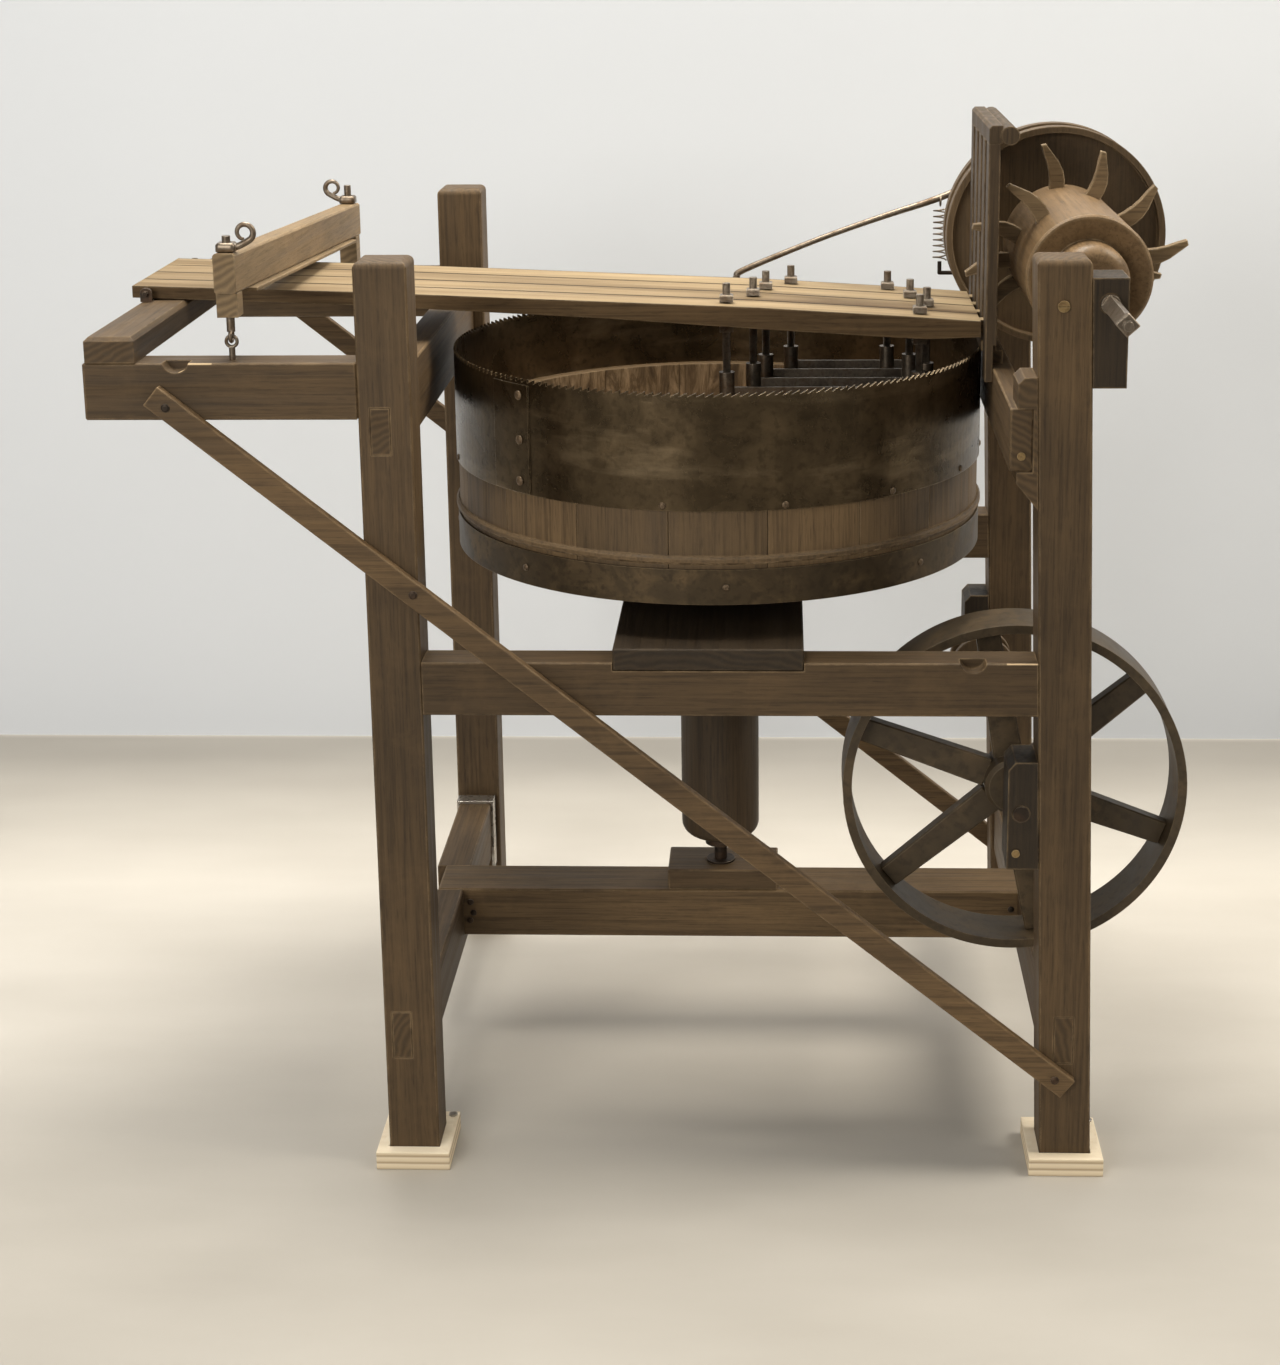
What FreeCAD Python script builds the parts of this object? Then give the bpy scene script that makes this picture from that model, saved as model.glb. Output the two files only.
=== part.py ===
import FreeCAD, Part
import math, os
from FreeCAD import Vector as V

os.makedirs("parts", exist_ok=True)

# ---------------------------------------------------------------- dimensions (mm)
# centre of the footprint in the layout frame; everything is moved so this is the origin
ORIGIN_X, ORIGIN_Y = -70.5, 257.35

# frame
POST = 51.0              # square section of the four posts
POST_ROUND = 7.5         # rounding of the post tops
DEPTH = 612.7            # front face of front posts to back face of back posts
LX0 = -350.0             # outer face of the left posts
RX_FOOT = 362.0          # outer face of the right posts at the floor
RX_TOP = 338.0           # and at the top: the right side leans in
POST_TOP = 930.0
YB = DEPTH - POST        # front face of the back posts
SOCK_H = 19.0
SOCK_WALL = 11.5
GAP = 0.3

RAIL_Z0, RAIL_Z1, RAIL_T = 484.0, 538.0, 40.0
ARM_X0, ARM_Z0, ARM_Z1, ARM_T = -611.0, 779.0, 834.0, 41.0
XBEAM_X0, XBEAM_X1, XBEAM_TOP = -608.0, -560.0, 859.2

STR_Y0, STR_Y1, STR_Z0, STR_Z1 = 275.0, 341.0, 125.0, 181.0
BOARD_X0, BOARD_X1, BOARD_TOP = -113.0, 72.0, 552.0

# tub
TX, TY = -18.0, 306.0    # tub axis
R_BAND = 279.8           # outside of the iron band
R_STAVE = 277.5
R_IN = 262.0
Z_TUB0, Z_HOOP1 = 588.5, 624.0
Z_BAND0, Z_VALLEY, Z_TOOTH = 682.0, 795.0, 799.0
Z_STAVE1 = 721.0
Z_BLOCK = 661.0
N_TEETH = 210
N_STAVES = 18
SPINDLE_R = 43.0
PIVOT_R = 7.0

# levers
LEVER_N = 4
LEVER_Y0, LEVER_PITCH, LEVER_W = 210.0, 48.0, 47.2
PIN_X, PIN_Z, PIN_R = -600.0, 868.0, 2.5
LEVER_TOP = [(-617, 874), (-391, 867), (-136, 856), (28, 849), (172, 840), (254, 834)]
LEVER_BOT = [(254, 818), (200, 816), (172, 817.5), (28, 827), (-136, 839), (-391, 853.5), (-617, 862)]
ROD_R = 4.0
ROD_X = [(-6, 193), (21, 203), (34, 188), (61, 166)]
BLADE_Z0, BLADE_Z1, BLADE_T = 668.0, 762.0, 3.0

# comb
SLAT_X0, SLAT_X1, SLAT_T = 257.5, 269.0, 28.0
SILL_Z0, SILL_Z1 = 801.5, 812.0
COMB_Z0, COMB_Z1 = 812.0, 1034.0
COMB_HEAD = 18.0         # height of the head rail that closes the slots
COMB_BAR = (278.3, 1024.0, 9.6)
CBEAM_X0, CBEAM_X1, CBEAM_Z0, CBEAM_Z1 = 265.5, 287.0, 727.0, 788.0

# drum shaft
DX, DZ = 355.0, 888.0
DRUM_R, DRUM_Y0, DRUM_Y1 = 63.0, 150.0, 402.0
HUB_R = 37.0
SQ_TURN = 36.0           # how far the squared shaft end stands turned
PEG_TIP = 111.0
PEG_PHASE = 12.2        # no peg stands in a lever's path at rest or a quarter turn from it
PULLEY_R, PULLEY_Y0, PULLEY_Y1 = 121.0, 446.0, 506.0
SHAFT_R = 9.0

# lower shaft
FX, FZ = 284.0, 384.0
FLY_R, FLY_T, FLY_Y0, FLY_Y1 = 172.0, 9.0, 66.0, 124.0

# pawl
PAWL_Y = 583.0
PAWL_PIVOT = (322.0, 951.0)

# hold-down bar
BAR_A = (-471.5, 6.0, 899.0)      # bottom centre, front end
BAR_B = (-458.0, 596.0, 872.0)    # bottom centre, back end
BAR_W, BAR_H = 21.0, 38.0


# ---------------------------------------------------------------- helpers
def box(x0, x1, y0, y1, z0, z1, c=0.0):
    b = Part.makeBox(x1 - x0, y1 - y0, z1 - z0, V(x0, y0, z0))
    return b.makeChamfer(c, b.Edges) if c else b


def cyl(p, d, r, l):
    return Part.makeCylinder(r, l, V(*p), V(*d))


def prism(pts, d):
    w = Part.makePolygon([V(*p) for p in pts] + [V(*pts[0])])
    return Part.Face(w).extrude(V(*d))


def xz(pts, y0, y1, c=0.0):
    s = prism([(x, y0, z) for x, z in pts], (0, y1 - y0, 0))
    return s.makeChamfer(c, s.Edges) if c else s


def yz(pts, x0, x1, c=0.0):
    s = prism([(x0, y, z) for y, z in pts], (x1 - x0, 0, 0))
    return s.makeChamfer(c, s.Edges) if c else s


def ring(cx, cy, r0, r1, z0, z1):
    return cyl((cx, cy, z0), (0, 0, 1), r1, z1 - z0).cut(cyl((cx, cy, z0 - 1), (0, 0, 1), r0, z1 - z0 + 2))


def top_chamfer(s, z, c):
    e = [e for e in s.Edges if all(v.Point.z > z - 0.01 for v in e.Vertexes)]
    return s.makeChamfer(c, e)


def round_top(s, x0, x1, y0, y1, z, r):
    """round the four top edges of a post over to radius r"""
    for xa, xc in ((x0 - 1, x0 + r), (x1 - r, x1 - r)):
        s = s.cut(box(xa, xa + r + 1, y0 - 1, y1 + 1, z - r, z + 1).cut(cyl((xc, y0 - 2, z - r), (0, 1, 0), r, y1 - y0 + 4)))
    for ya, yc in ((y0 - 1, y0 + r), (y1 - r, y1 - r)):
        s = s.cut(box(x0 - 1, x1 + 1, ya, ya + r + 1, z - r, z + 1).cut(cyl((x0 - 2, yc, z - r), (1, 0, 0), r, x1 - x0 + 4)))
    return s


def rx(z):
    """outer face of the leaning right posts at height z"""
    return RX_FOOT + (RX_TOP - RX_FOOT) * z / POST_TOP


def pipe(pts, r):
    out = None
    for a, b in zip(pts[:-1], pts[1:]):
        a, b = V(*a), V(*b)
        c = Part.makeCylinder(r, (b - a).Length, a, b - a)
        out = c if out is None else out.fuse(c)
    for p in pts[1:-1]:
        out = out.fuse(Part.makeSphere(r, V(*p)))
    return out.removeSplitter()


def torus(p, d, r1, r2):
    return Part.makeTorus(r1, r2, V(*p), V(*d))


def square_nut(x, y, z0, h=7.0, w=14.0, r=ROD_R):
    n = box(x - w / 2, x + w / 2, y - w / 2, y + w / 2, z0, z0 + h)
    n = n.makeChamfer(1.2, [e for e in n.Edges if all(v.Point.z > z0 + h - 0.01 for v in e.Vertexes)])
    return n.cut(cyl((x, y, z0 - 1), (0, 0, 1), r + 0.05, h + 2))


def save(name, shapes):
    if not isinstance(shapes, (list, tuple)):
        shapes = [shapes]
    solids = []
    for s in shapes:
        solids += s.Solids
    out = Part.makeCompound(solids) if len(solids) > 1 else solids[0]
    out.translate(V(-ORIGIN_X, -ORIGIN_Y, 0))
    assert out.isValid(), name
    out.exportStep("parts/%s.step" % name)
    print(name, len(solids), [round(v, 1) for v in (out.BoundBox.XMin, out.BoundBox.XMax, out.BoundBox.YMin, out.BoundBox.YMax, out.BoundBox.ZMin, out.BoundBox.ZMax)])


# ---------------------------------------------------------------- timber frame
def left_post(y0):
    p = box(LX0, LX0 + POST, y0, y0 + POST, 0, POST_TOP)
    p = p.makeChamfer(1.5, [e for e in p.Edges if abs(e.Length - POST_TOP) < 0.5])
    return round_top(p, LX0, LX0 + POST, y0, y0 + POST, POST_TOP, POST_ROUND)


def right_post(y0, top=POST_TOP):
    p = xz([(RX_FOOT - POST, 0), (RX_FOOT, 0), (RX_TOP, top), (RX_TOP - POST, top)], y0, y0 + POST)
    p = p.makeChamfer(1.5, [e for e in p.Edges if e.Length > 0.9 * top])
    xo = rx(top)
    return round_top(p, xo - POST, xo, y0, y0 + POST, top, POST_ROUND)


# side rails, mortised through the front and back posts with flush tenon ends
def side_rail(x0, x1, z0, z1, tx0, tx1, tz0, tz1):
    r = box(x0, x1, POST, YB, z0, z1, 1.5)
    return r.fuse(box(tx0, tx1, 0.0, DEPTH, tz0, tz1)).removeSplitter()


upper_left = side_rail(-342, -312, 743, 815, -338.5, -320.0, 720.0 + 25, 790.0)
lower_left = side_rail(-344, -306, 112, 180, -342.0, -323.0, 118.0, 168.0)
lower_right = side_rail(312, 350, 112, 180, 322.0, 341.0, 118.0, 168.0)


def mortise(tx0, tx1, tz0, tz1):
    g = 0.35
    return box(tx0 - g, tx1 + g, -1, DEPTH + 1, tz0 - g, tz1 + g)


left_cut = mortise(-338.5, -320.0, 745.0, 790.0).fuse(mortise(-342.0, -323.0, 118.0, 168.0))
right_cut = mortise(322.0, 341.0, 118.0, 168.0)
posts_l = [left_post(0).cut(left_cut), left_post(YB).cut(left_cut)]
posts_r = [right_post(0).cut(right_cut), right_post(YB).cut(right_cut)]
save("left_posts", posts_l)
save("right_posts", posts_r)
posts = posts_l + posts_r


def less_posts(s):
    for p in (box(LX0, LX0 + POST, 0, POST, 0, 960), box(LX0, LX0 + POST, YB, DEPTH, 0, 960),
              xz([(RX_FOOT - POST, 0), (RX_FOOT, 0), (rx(960), 960), (rx(960) - POST, 960)], 0, POST),
              xz([(RX_FOOT - POST, 0), (RX_FOOT, 0), (rx(960), 960), (rx(960) - POST, 960)], YB, DEPTH)):
        s = s.cut(p)
    return s


stretcher = box(-334.0, 330.0, STR_Y0, STR_Y1, STR_Z0, STR_Z1, 1.5)
# the stretcher is halved onto the two lower side rails; its left end has a small notch
stretcher = stretcher.cut(box(-340, -322, STR_Y0 - 1, STR_Y0 + 14, STR_Z0 - 1, STR_Z0 + 12))
lower_left = lower_left.cut(box(-352, -300, STR_Y0 - GAP, STR_Y1 + GAP, STR_Z0 - GAP, 200))
lower_right = lower_right.cut(box(300, 352, STR_Y0 - GAP, STR_Y1 + GAP, STR_Z0 - GAP, 200))
save("upper_side_rail", upper_left)
save("lower_side_rails", [lower_left, lower_right])

board = box(BOARD_X0, BOARD_X1, 0.2, DEPTH - 4.0, BOARD_TOP - 22, BOARD_TOP, 1.2)
board = board.fuse(box(BOARD_X0, BOARD_X1, RAIL_T + 3, YB - 3, BOARD_TOP - 33, BOARD_TOP - 10)).removeSplitter()
board = board.cut(cyl((TX, TY, 500), (0, 0, 1), SPINDLE_R + 1.0, 80))
save("bearing_board", board)


def mid_rail(y0, scoop):
    r = box(LX0 + POST - 2, RX_FOOT, y0, y0 + RAIL_T, RAIL_Z0, RAIL_Z1, 1.2)
    r = r.cut(box(BOARD_X0 - 0.3, BOARD_X1 + 0.3, y0 - 1, y0 + RAIL_T + 1, BOARD_TOP - 22.2, RAIL_Z1 + 5))
    if scoop:
        r = r.cut(cyl((235.0, y0 - 1, RAIL_Z1 + 3.0), (0, 1, 0), 13.0, 17.0))
    return less_posts(r).Solids[0]


save("mid_rails", [mid_rail(0.0, True), mid_rail(YB, False)])
save("lower_stretcher", stretcher)

# foot sockets of plywood, one round each post
socks, screws = [], []
for px0, px1 in ((LX0, LX0 + POST), (RX_FOOT - POST, RX_FOOT)):
    for y0 in (0.0, YB):
        lo = px0 - 0.6
        hi = px1 + 0.2
        s = box(lo - SOCK_WALL, hi + SOCK_WALL, y0 - 13.0, y0 + POST + 21.0, 0, SOCK_H, 0.6)
        s = s.cut(box(lo - 0.2, hi + 0.2, y0 - 0.4, y0 + POST + 0.4, -1, SOCK_H + 1))
        c = (hi + 5.0, y0 + POST + 14.0)
        s = s.cut(cyl((c[0], c[1], 4.0), (0, 0, 1), 2.2, 20))
        socks.append(s)
        k = cyl((c[0], c[1], 4.2), (0, 0, 1), 2.0, 14.5).fuse(cyl((c[0], c[1], SOCK_H), (0, 0, 1), 4.5, 1.6))
        screws.append(k.cut(box(c[0] - 5, c[0] + 5, c[1] - 0.5, c[1] + 0.5, SOCK_H + 0.8, SOCK_H + 3)))
save("foot_sockets", socks)
save("socket_screws", screws)

# ---------------------------------------------------------------- overhanging arms and crossbeam
ARM_YB = YB + 3.0


def arm(y0, scoop):
    a = box(ARM_X0, LX0, y0, y0 + ARM_T, ARM_Z0, ARM_Z1, 1.5)
    if scoop:
        a = a.cut(cyl((-522.0, y0 - 1, ARM_Z1 + 3.5), (0, 1, 0), 13.0, 17.0))
    return a


xb = box(XBEAM_X0, XBEAM_X1, 0.0, ARM_YB + ARM_T + 4, ARM_Z1 + 0.05, XBEAM_TOP)
xb = xb.makeChamfer(4.0, [e for e in xb.Edges if all(v.Point.z > XBEAM_TOP - 0.01 for v in e.Vertexes)])
save("arm_crossbeam", xb)

# staples that hold the lever pin on the crossbeam, and the pin itself
y_l0 = LEVER_Y0 - 10.0
y_l1 = LEVER_Y0 + LEVER_N * LEVER_PITCH + 4.0
pin = cyl((PIN_X, y_l0 - 6, PIN_Z), (0, 1, 0), PIN_R, y_l1 - y_l0 + 12)
staples = []
for y in (y_l0 - 1.5, y_l1 - 1.5):
    s = box(PIN_X - 6, PIN_X + 6, y, y + 3, XBEAM_TOP + 0.05, PIN_Z + 5.5)
    s = s.makeFillet(5.0, [e for e in s.Edges if abs(e.Length - 3) < 0.01 and all(v.Point.z > PIN_Z + 5 for v in e.Vertexes)])
    staples.append(s.cut(cyl((PIN_X, y - 1, PIN_Z), (0, 1, 0), PIN_R + 0.02, 6)))
save("lever_pivot", [pin] + staples)

# ---------------------------------------------------------------- braces
BR_T = 10.0


def brace(a, b, y0, w=23.0):
    ax, az = a
    bx, bz = b
    L = math.hypot(bx - ax, bz - az)
    ux, uz = (bx - ax) / L, (bz - az) / L
    nx, nz = -uz * w / 2, ux * w / 2
    return xz([(ax + nx, az + nz), (bx + nx, bz + nz), (bx - nx, bz - nz), (ax - nx, az - nz)], y0, y0 + BR_T, 0.8)


FB = ((-545.0, 804.5), (336.0, 94.0))
BB = ((-545.0, 795.0), (330.0, 90.0))
save("diagonal_braces", [brace(FB[0], FB[1], -BR_T), brace(BB[0], BB[1], DEPTH)])


def head(x, y, z, d, r=4.6, h=2.0):
    """domed nail or rivet head sitting on a face, pointing along d"""
    c = Part.makeCylinder(r, h * 0.45, V(x, y, z), V(*d))
    t = V(x, y, z) + V(*d) * (h * 0.45)
    return c.fuse(Part.makeCone(r, r * 0.55, h * 0.55, t, V(*d))).removeSplitter()


nails = []
for (a, b), y, d in ((FB, -BR_T, (0, -1, 0)), (BB, DEPTH + BR_T, (0, 1, 0))):
    for t in (0.016, 0.275, 0.985):
        nails.append(head(a[0] + (b[0] - a[0]) * t, y, a[1] + (b[1] - a[1]) * t, d, 4.2, 1.6))

# ---------------------------------------------------------------- thrust block and lower fittings
block = box(-76.0, 46.0, STR_Y0, STR_Y1, STR_Z1 + 0.05, 205.0, 1.2)
block = block.cut(cyl((TX, TY, 196.0), (0, 0, 1), 16.0, 20))
save("thrust_block", block)
cup = cyl((TX, TY, 196.2), (0, 0, 1), 15.8, 11.0).cut(cyl((TX, TY, 199.0), (0, 0, 1), PIVOT_R + 0.05, 20))
save("pivot_cup", cup)
stir = []
for x0, x1 in ((-344.0, -306.0),):
    o = box(x0 - 3.2, x1 + 3.2, YB - 32, YB - 12, 96, 183.4)
    o = o.cut(box(x0 - 0.2, x1 + 0.2, YB - 40, YB, 90, 180.2))
    stir += o.Solids
save("rail_stirrup", stir)
snails = [head(x, STR_Y0, z, (0, -1, 0), 3.6, 1.4) for x, z in ((-298, 165), (-295, 152), (-299, 143))]
snails += [head(x, STR_Y0, z, (0, -1, 0), 3.6, 1.4) for x, z in ((305, 160), (303, 145))]
save("frame_nails", nails + snails)

# ---------------------------------------------------------------- comb
cbeam = box(CBEAM_X0, CBEAM_X1, 5.0, DEPTH - 4.0, CBEAM_Z0, CBEAM_Z1, 1.2)
# scooped where the drive pulley turns over it
cbeam = cbeam.cut(cyl((DX, PULLEY_Y0 - 6, DZ), (0, 1, 0), PULLEY_R + 4.0, PULLEY_Y1 - PULLEY_Y0 + 12))
cleats = []
for y0 in (0.0, YB):
    c = xz([(272, 812), (278, 818), (rx(818) - POST, 818), (rx(690) - POST, 690), (285, 700), (272, 716)], y0 + 0.4, y0 + POST - 0.4)
    c = c.cut(box(CBEAM_X0 - 1, CBEAM_X1 + 0.05, -1, DEPTH + 1, CBEAM_Z0 - 0.05, CBEAM_Z1 + 0.05))
    cleats += [max(c.Solids, key=lambda q: q.Volume)]
yb0 = LEVER_Y0 - SLAT_T / 2 - 3
yb1 = LEVER_Y0 + LEVER_N * LEVER_PITCH + SLAT_T / 2 + 3
ys0 = LEVER_Y0 + SLAT_T / 2 + 0.1
sill = box(256.0, 271.0, ys0, yb1 + 4, SILL_Z0, SILL_Z1).fuse(box(266.0, 278.0, ys0, yb1 + 4, CBEAM_Z1 + 0.05, SILL_Z0 + 0.1)).removeSplitter()
save("comb_beam", [cbeam, sill] + cleats)
slats = []
for i in range(LEVER_N + 1):
    yc = LEVER_Y0 + i * LEVER_PITCH
    s = box(SLAT_X0, SLAT_X1, yc - SLAT_T / 2, yc + SLAT_T / 2, COMB_Z0 + 0.05, COMB_Z1 - COMB_HEAD - 0.05, 0.6)
    if i == 0:
        # the front slat runs down past the sill onto the side of the beam
        s = s.fuse(box(SLAT_X0, CBEAM_X0 - 0.1, yc - SLAT_T / 2, yc + SLAT_T / 2, 774.0, COMB_Z0 + 4, 0.6)).removeSplitter()
    s = s.cut(cyl((COMB_BAR[0], 100, COMB_BAR[1]), (0, 1, 0), COMB_BAR[2], 500))
    slats.append(s)
hd = box(SLAT_X0, SLAT_X1 + 2, LEVER_Y0 - SLAT_T / 2, LEVER_Y0 + LEVER_N * LEVER_PITCH + SLAT_T / 2, COMB_Z1 - COMB_HEAD, COMB_Z1)
hd = hd.makeChamfer(3.0, [e for e in hd.Edges if all(v.Point.z > COMB_Z1 - 0.1 and v.Point.x < SLAT_X0 + 0.1 for v in e.Vertexes)])
hd = hd.cut(cyl((COMB_BAR[0], 100, COMB_BAR[1]), (0, 1, 0), COMB_BAR[2], 500))
slats.append(max(hd.Solids, key=lambda q: q.Volume))
pts = []
for k in range(16):
    a = math.radians(22.5 * k + 11.25)
    pts.append((COMB_BAR[0] + (COMB_BAR[2] - 0.05) * math.cos(a), COMB_BAR[1] + (COMB_BAR[2] - 0.05) * math.sin(a)))
save("comb", slats + [xz(pts, yb0, yb1)])

# ---------------------------------------------------------------- hold-down bar over the levers
ax, ay, az = BAR_A
bx, by, bz = BAR_B


def bar_at(y):
    t = (y - ay) / (by - ay)
    return ax + (bx - ax) * t, az + (bz - az) * t


def bar_prism(y0, y1, w, h, dz=0.0, c=0.0):
    """sloping strip along the bar, its bottom dz above the bar's underside"""
    z0, z1 = az + (bz - az) * (y0 - ay) / (by - ay), az + (bz - az) * (y1 - ay) / (by - ay)
    s = yz([(y0, z0 + dz), (y1, z1 + dz), (y1, z1 + dz + h), (y0, z0 + dz + h)], ax - w / 2, ax + w / 2)
    if c:
        s = s.makeChamfer(c, [e for e in s.Edges if e.Length > 300])
    s.rotate(V(ax, ay, 0), V(0, 0, 1), -math.degrees(math.atan2(bx - ax, by - ay)))
    return s


bar = bar_prism(ay, by, BAR_W, BAR_H, 0.0, 2.0)
JY = (20.0, ARM_YB + 16.0)
legs = []
for y in JY:
    x, z = bar_at(y)
    z0 = 876.0 if y < 100 else ARM_Z1 + 0.05
    lg = box(x - 10, x + 10, y - 11, y + 11, z0, z0 + 80)
    lg = lg.cut(bar_prism(y - 40, y + 40, 80, 120, -0.05))
    lg = lg.cut(cyl((x, y, z0 - 5), (0, 0, 1), ROD_R + 0.1, 120))
    legs.append(max(lg.Solids, key=lambda q: q.Volume))
    bar = bar.cut(cyl((x, y, z - 20), (0, 0, 1), ROD_R + 0.1, 120))
# thin lath along the underside of the bar
save("hold_bar", [bar, bar_prism(60, 540, 34.0, 3.0, -3.05)] + legs)

jb, eyes, nuts = [], [], []
for y in JY:
    x, z = bar_at(y)
    top = z + BAR_H
    zlow = 866.0 if y < 100 else 858.0
    ez = ARM_Z1
    if y < 100:
        # hook end looped through a screw eye standing on the arm
        r = cyl((x, y, ez + 27.0), (0, 0, 1), ROD_R, top + 16.0 - ez - 27.0)
        hook = torus((x, y, ez + 22.7), (1, 0, 0), 5.2, 1.9)
        jb.append(r.fuse(hook).removeSplitter())
        e = cyl((x, y, ez - 18), (0, 0, 1), 3.0, 30.0).fuse(torus((x, y, ez + 17.5), (0, 1, 0), 5.2, 1.7))
        eyes.append(e)
    else:
        r = cyl((x, y, ez - 30.0), (0, 0, 1), ROD_R, top + 22.0 - ez + 30.0)
        jb.append(r)
    # nut with a curled thumb tail
    n = box(x - 9, x + 9, y - 8, y + 8, top + 0.8, top + 9.8)
    n = n.makeChamfer(1.0, [e for e in n.Edges if all(v.Point.z > top + 9 for v in e.Vertexes)])
    sd = 1 if y < 100 else -1
    cr = 8.0
    curl = []
    for k in range(11):
        a = math.radians(-60 + 28 * k)
        curl.append((x + sd * (17.5 + cr * math.cos(a) * 0.95), y, top + 19.5 + cr * math.sin(a)))
    n = n.fuse(pipe([(x + sd * 7, y, top + 6), (x + sd * 15, y, top + 10)] + curl, 2.8)).removeSplitter()
    n = n.cut(cyl((x, y, top - 1), (0, 0, 1), ROD_R + 0.05, 40))
    nuts.append(max(n.Solids, key=lambda q: q.Volume))
# back arm is bored for its bolt
save("bar_bolts", jb + eyes)
save("curl_nuts", nuts)
arms = [arm(0.2, True), arm(ARM_YB, False)]
xe, ze = bar_at(JY[0])
arms[0] = arms[0].cut(cyl((xe, JY[0], ARM_Z1 - 19), (0, 0, 1), 3.05, 40))
xe, ze = bar_at(JY[1])
arms[1] = arms[1].cut(cyl((xe, JY[1], ARM_Z1 - 31), (0, 0, 1), ROD_R + 0.1, 60))
save("lever_arms", arms)

# ---------------------------------------------------------------- tub
staves = []
full = ring(TX, TY, R_IN, R_STAVE, Z_TUB0, Z_STAVE1)
step = 2 * math.pi / N_STAVES
STAVE_PHASE = math.radians(-90 - 8.5)
for k in range(N_STAVES):
    a0 = STAVE_PHASE + k * step
    a1 = a0 + step
    g = 0.35 / R_STAVE
    L = 400
    wedge = prism([(TX, TY, Z_TUB0 - 1), (TX + L * math.cos(a0 + g), TY + L * math.sin(a0 + g), Z_TUB0 - 1),
                   (TX + L * math.cos(a1 - g), TY + L * math.sin(a1 - g), Z_TUB0 - 1)], (0, 0, Z_STAVE1 - Z_TUB0 + 2))
    staves.append(full.common(wedge))
save("tub_floor", [cyl((TX, TY, Z_TUB0 + 0.5), (0, 0, 1), R_IN - 0.2, 23.0).cut(cyl((TX, TY, 580), (0, 0, 1), 6.0, 40))])
save("chopping_block", cyl((TX, TY, Z_TUB0 + 23.6), (0, 0, 1), R_IN - 2.0, Z_BLOCK - Z_TUB0 - 23.6))
save("tub_hoop", ring(TX, TY, R_STAVE + 0.05, R_BAND, Z_TUB0, Z_HOOP1))
bead = ring(TX, TY, R_STAVE + 0.05, R_STAVE + 4.0, 629.0, 637.0)
bead = bead.makeChamfer(2.2, [e for e in bead.Edges if abs(e.Length - 2 * math.pi * (R_STAVE + 4.0)) < 1.0 and len(e.Vertexes) == 1])
save("tub_staves", staves + [bead])


def ratchet_band():
    ri, ro = R_STAVE + 0.08, R_BAND
    F = []

    def pt(r, k, z):
        a = 2 * math.pi * k / N_TEETH
        return V(TX + r * math.cos(a), TY + r * math.sin(a), z)

    def face(*p):
        F.append(Part.Face(Part.makePolygon(list(p) + [p[0]])))

    for k in range(N_TEETH):
        i, j = k, (k + 1) % N_TEETH
        b0, b1, v0, v1, p1 = Z_BAND0, Z_BAND0, Z_VALLEY, Z_VALLEY, Z_TOOTH
        face(pt(ro, i, b0), pt(ro, j, b1), pt(ro, j, v1), pt(ro, j, p1), pt(ro, i, v0))
        face(pt(ri, i, v0), pt(ri, j, p1), pt(ri, j, v1), pt(ri, j, b1), pt(ri, i, b0))
        face(pt(ro, i, v0), pt(ro, j, p1), pt(ri, i, v0))
        face(pt(ri, i, v0), pt(ro, j, p1), pt(ri, j, p1))
        face(pt(ro, j, v1), pt(ri, j, v1), pt(ri, j, p1), pt(ro, j, p1))
        face(pt(ro, j, b1), pt(ro, i, b0), pt(ri, i, b0), pt(ri, j, b1))
    sh = Part.makeShell(F)
    sh.sewShape()
    so = Part.makeSolid(Part.Shell(sh.Faces))
    if so.Volume < 0:
        so.reverse()
    return so




def on_wall(phi, r, z):
    """point on the tub wall, phi degrees from the front, positive to the right"""
    a = math.radians(phi)
    return (TX + r * math.sin(a), TY - r * math.cos(a), z)


def wall_dir(phi):
    a = math.radians(phi)
    return (math.sin(a), -math.cos(a), 0)


LAP = -40.0
lap = ring(TX, TY, R_BAND + 0.05, R_BAND + 1.6, Z_BAND0 + 1.0, Z_VALLEY - 2.0)
aa, bb = math.radians(LAP - 90 - 11.0), math.radians(LAP - 90)
lap = lap.common(prism([(TX, TY, Z_BAND0), (TX + 400 * math.cos(aa), TY + 400 * math.sin(aa), Z_BAND0),
                        (TX + 400 * math.cos(bb), TY + 400 * math.sin(bb), Z_BAND0)], (0, 0, 200)))
save("ratchet_band", [ratchet_band(), lap])
rv = []
for phi, z in ((LAP - 2.6, 782.0), (LAP - 2.6, 737.0), (LAP - 2.8, 695.0)):
    rv.append(head(*on_wall(phi, R_BAND + 1.65, z), wall_dir(phi), 4.6, 2.1))
for k in range(14):
    phi = -34.0 + 24.5 * k
    if abs(phi - LAP) < 8:
        continue
    rv.append(head(*on_wall(phi, R_BAND + 0.05, 687.0), wall_dir(phi), 3.4, 1.8))
for k in range(8):
    phi = 3.0 + 45.0 * k
    rv.append(head(*on_wall(phi, R_BAND + 0.05, 606.0), wall_dir(phi), 3.4, 1.8))
save("band_rivets", rv)

arm_a = xz([(TX - 236, Z_TUB0 - 8), (TX - 236, Z_TUB0 - 0.1), (TX + 236, Z_TUB0 - 0.1), (TX + 236, Z_TUB0 - 8), (TX + 110, 559.0), (TX - 110, 559.0)], TY - 27, TY + 27)
arm_b = yz([(TY - 236, Z_TUB0 - 8), (TY - 236, Z_TUB0 - 0.1), (TY + 236, Z_TUB0 - 0.1), (TY + 236, Z_TUB0 - 8), (TY + 110, 559.0), (TY - 110, 559.0)], TX - 27, TX + 27)
mid = box(TX - 27.1, TX + 27.1, TY - 27.1, TY + 27.1, 572.0, 600)
mid2 = box(TX - 27.1, TX + 27.1, TY - 27.1, TY + 27.1, 540, 572.05)
hole = cyl((TX, TY, 500), (0, 0, 1), SPINDLE_R * 0.55 + 0.1, 100)
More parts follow.
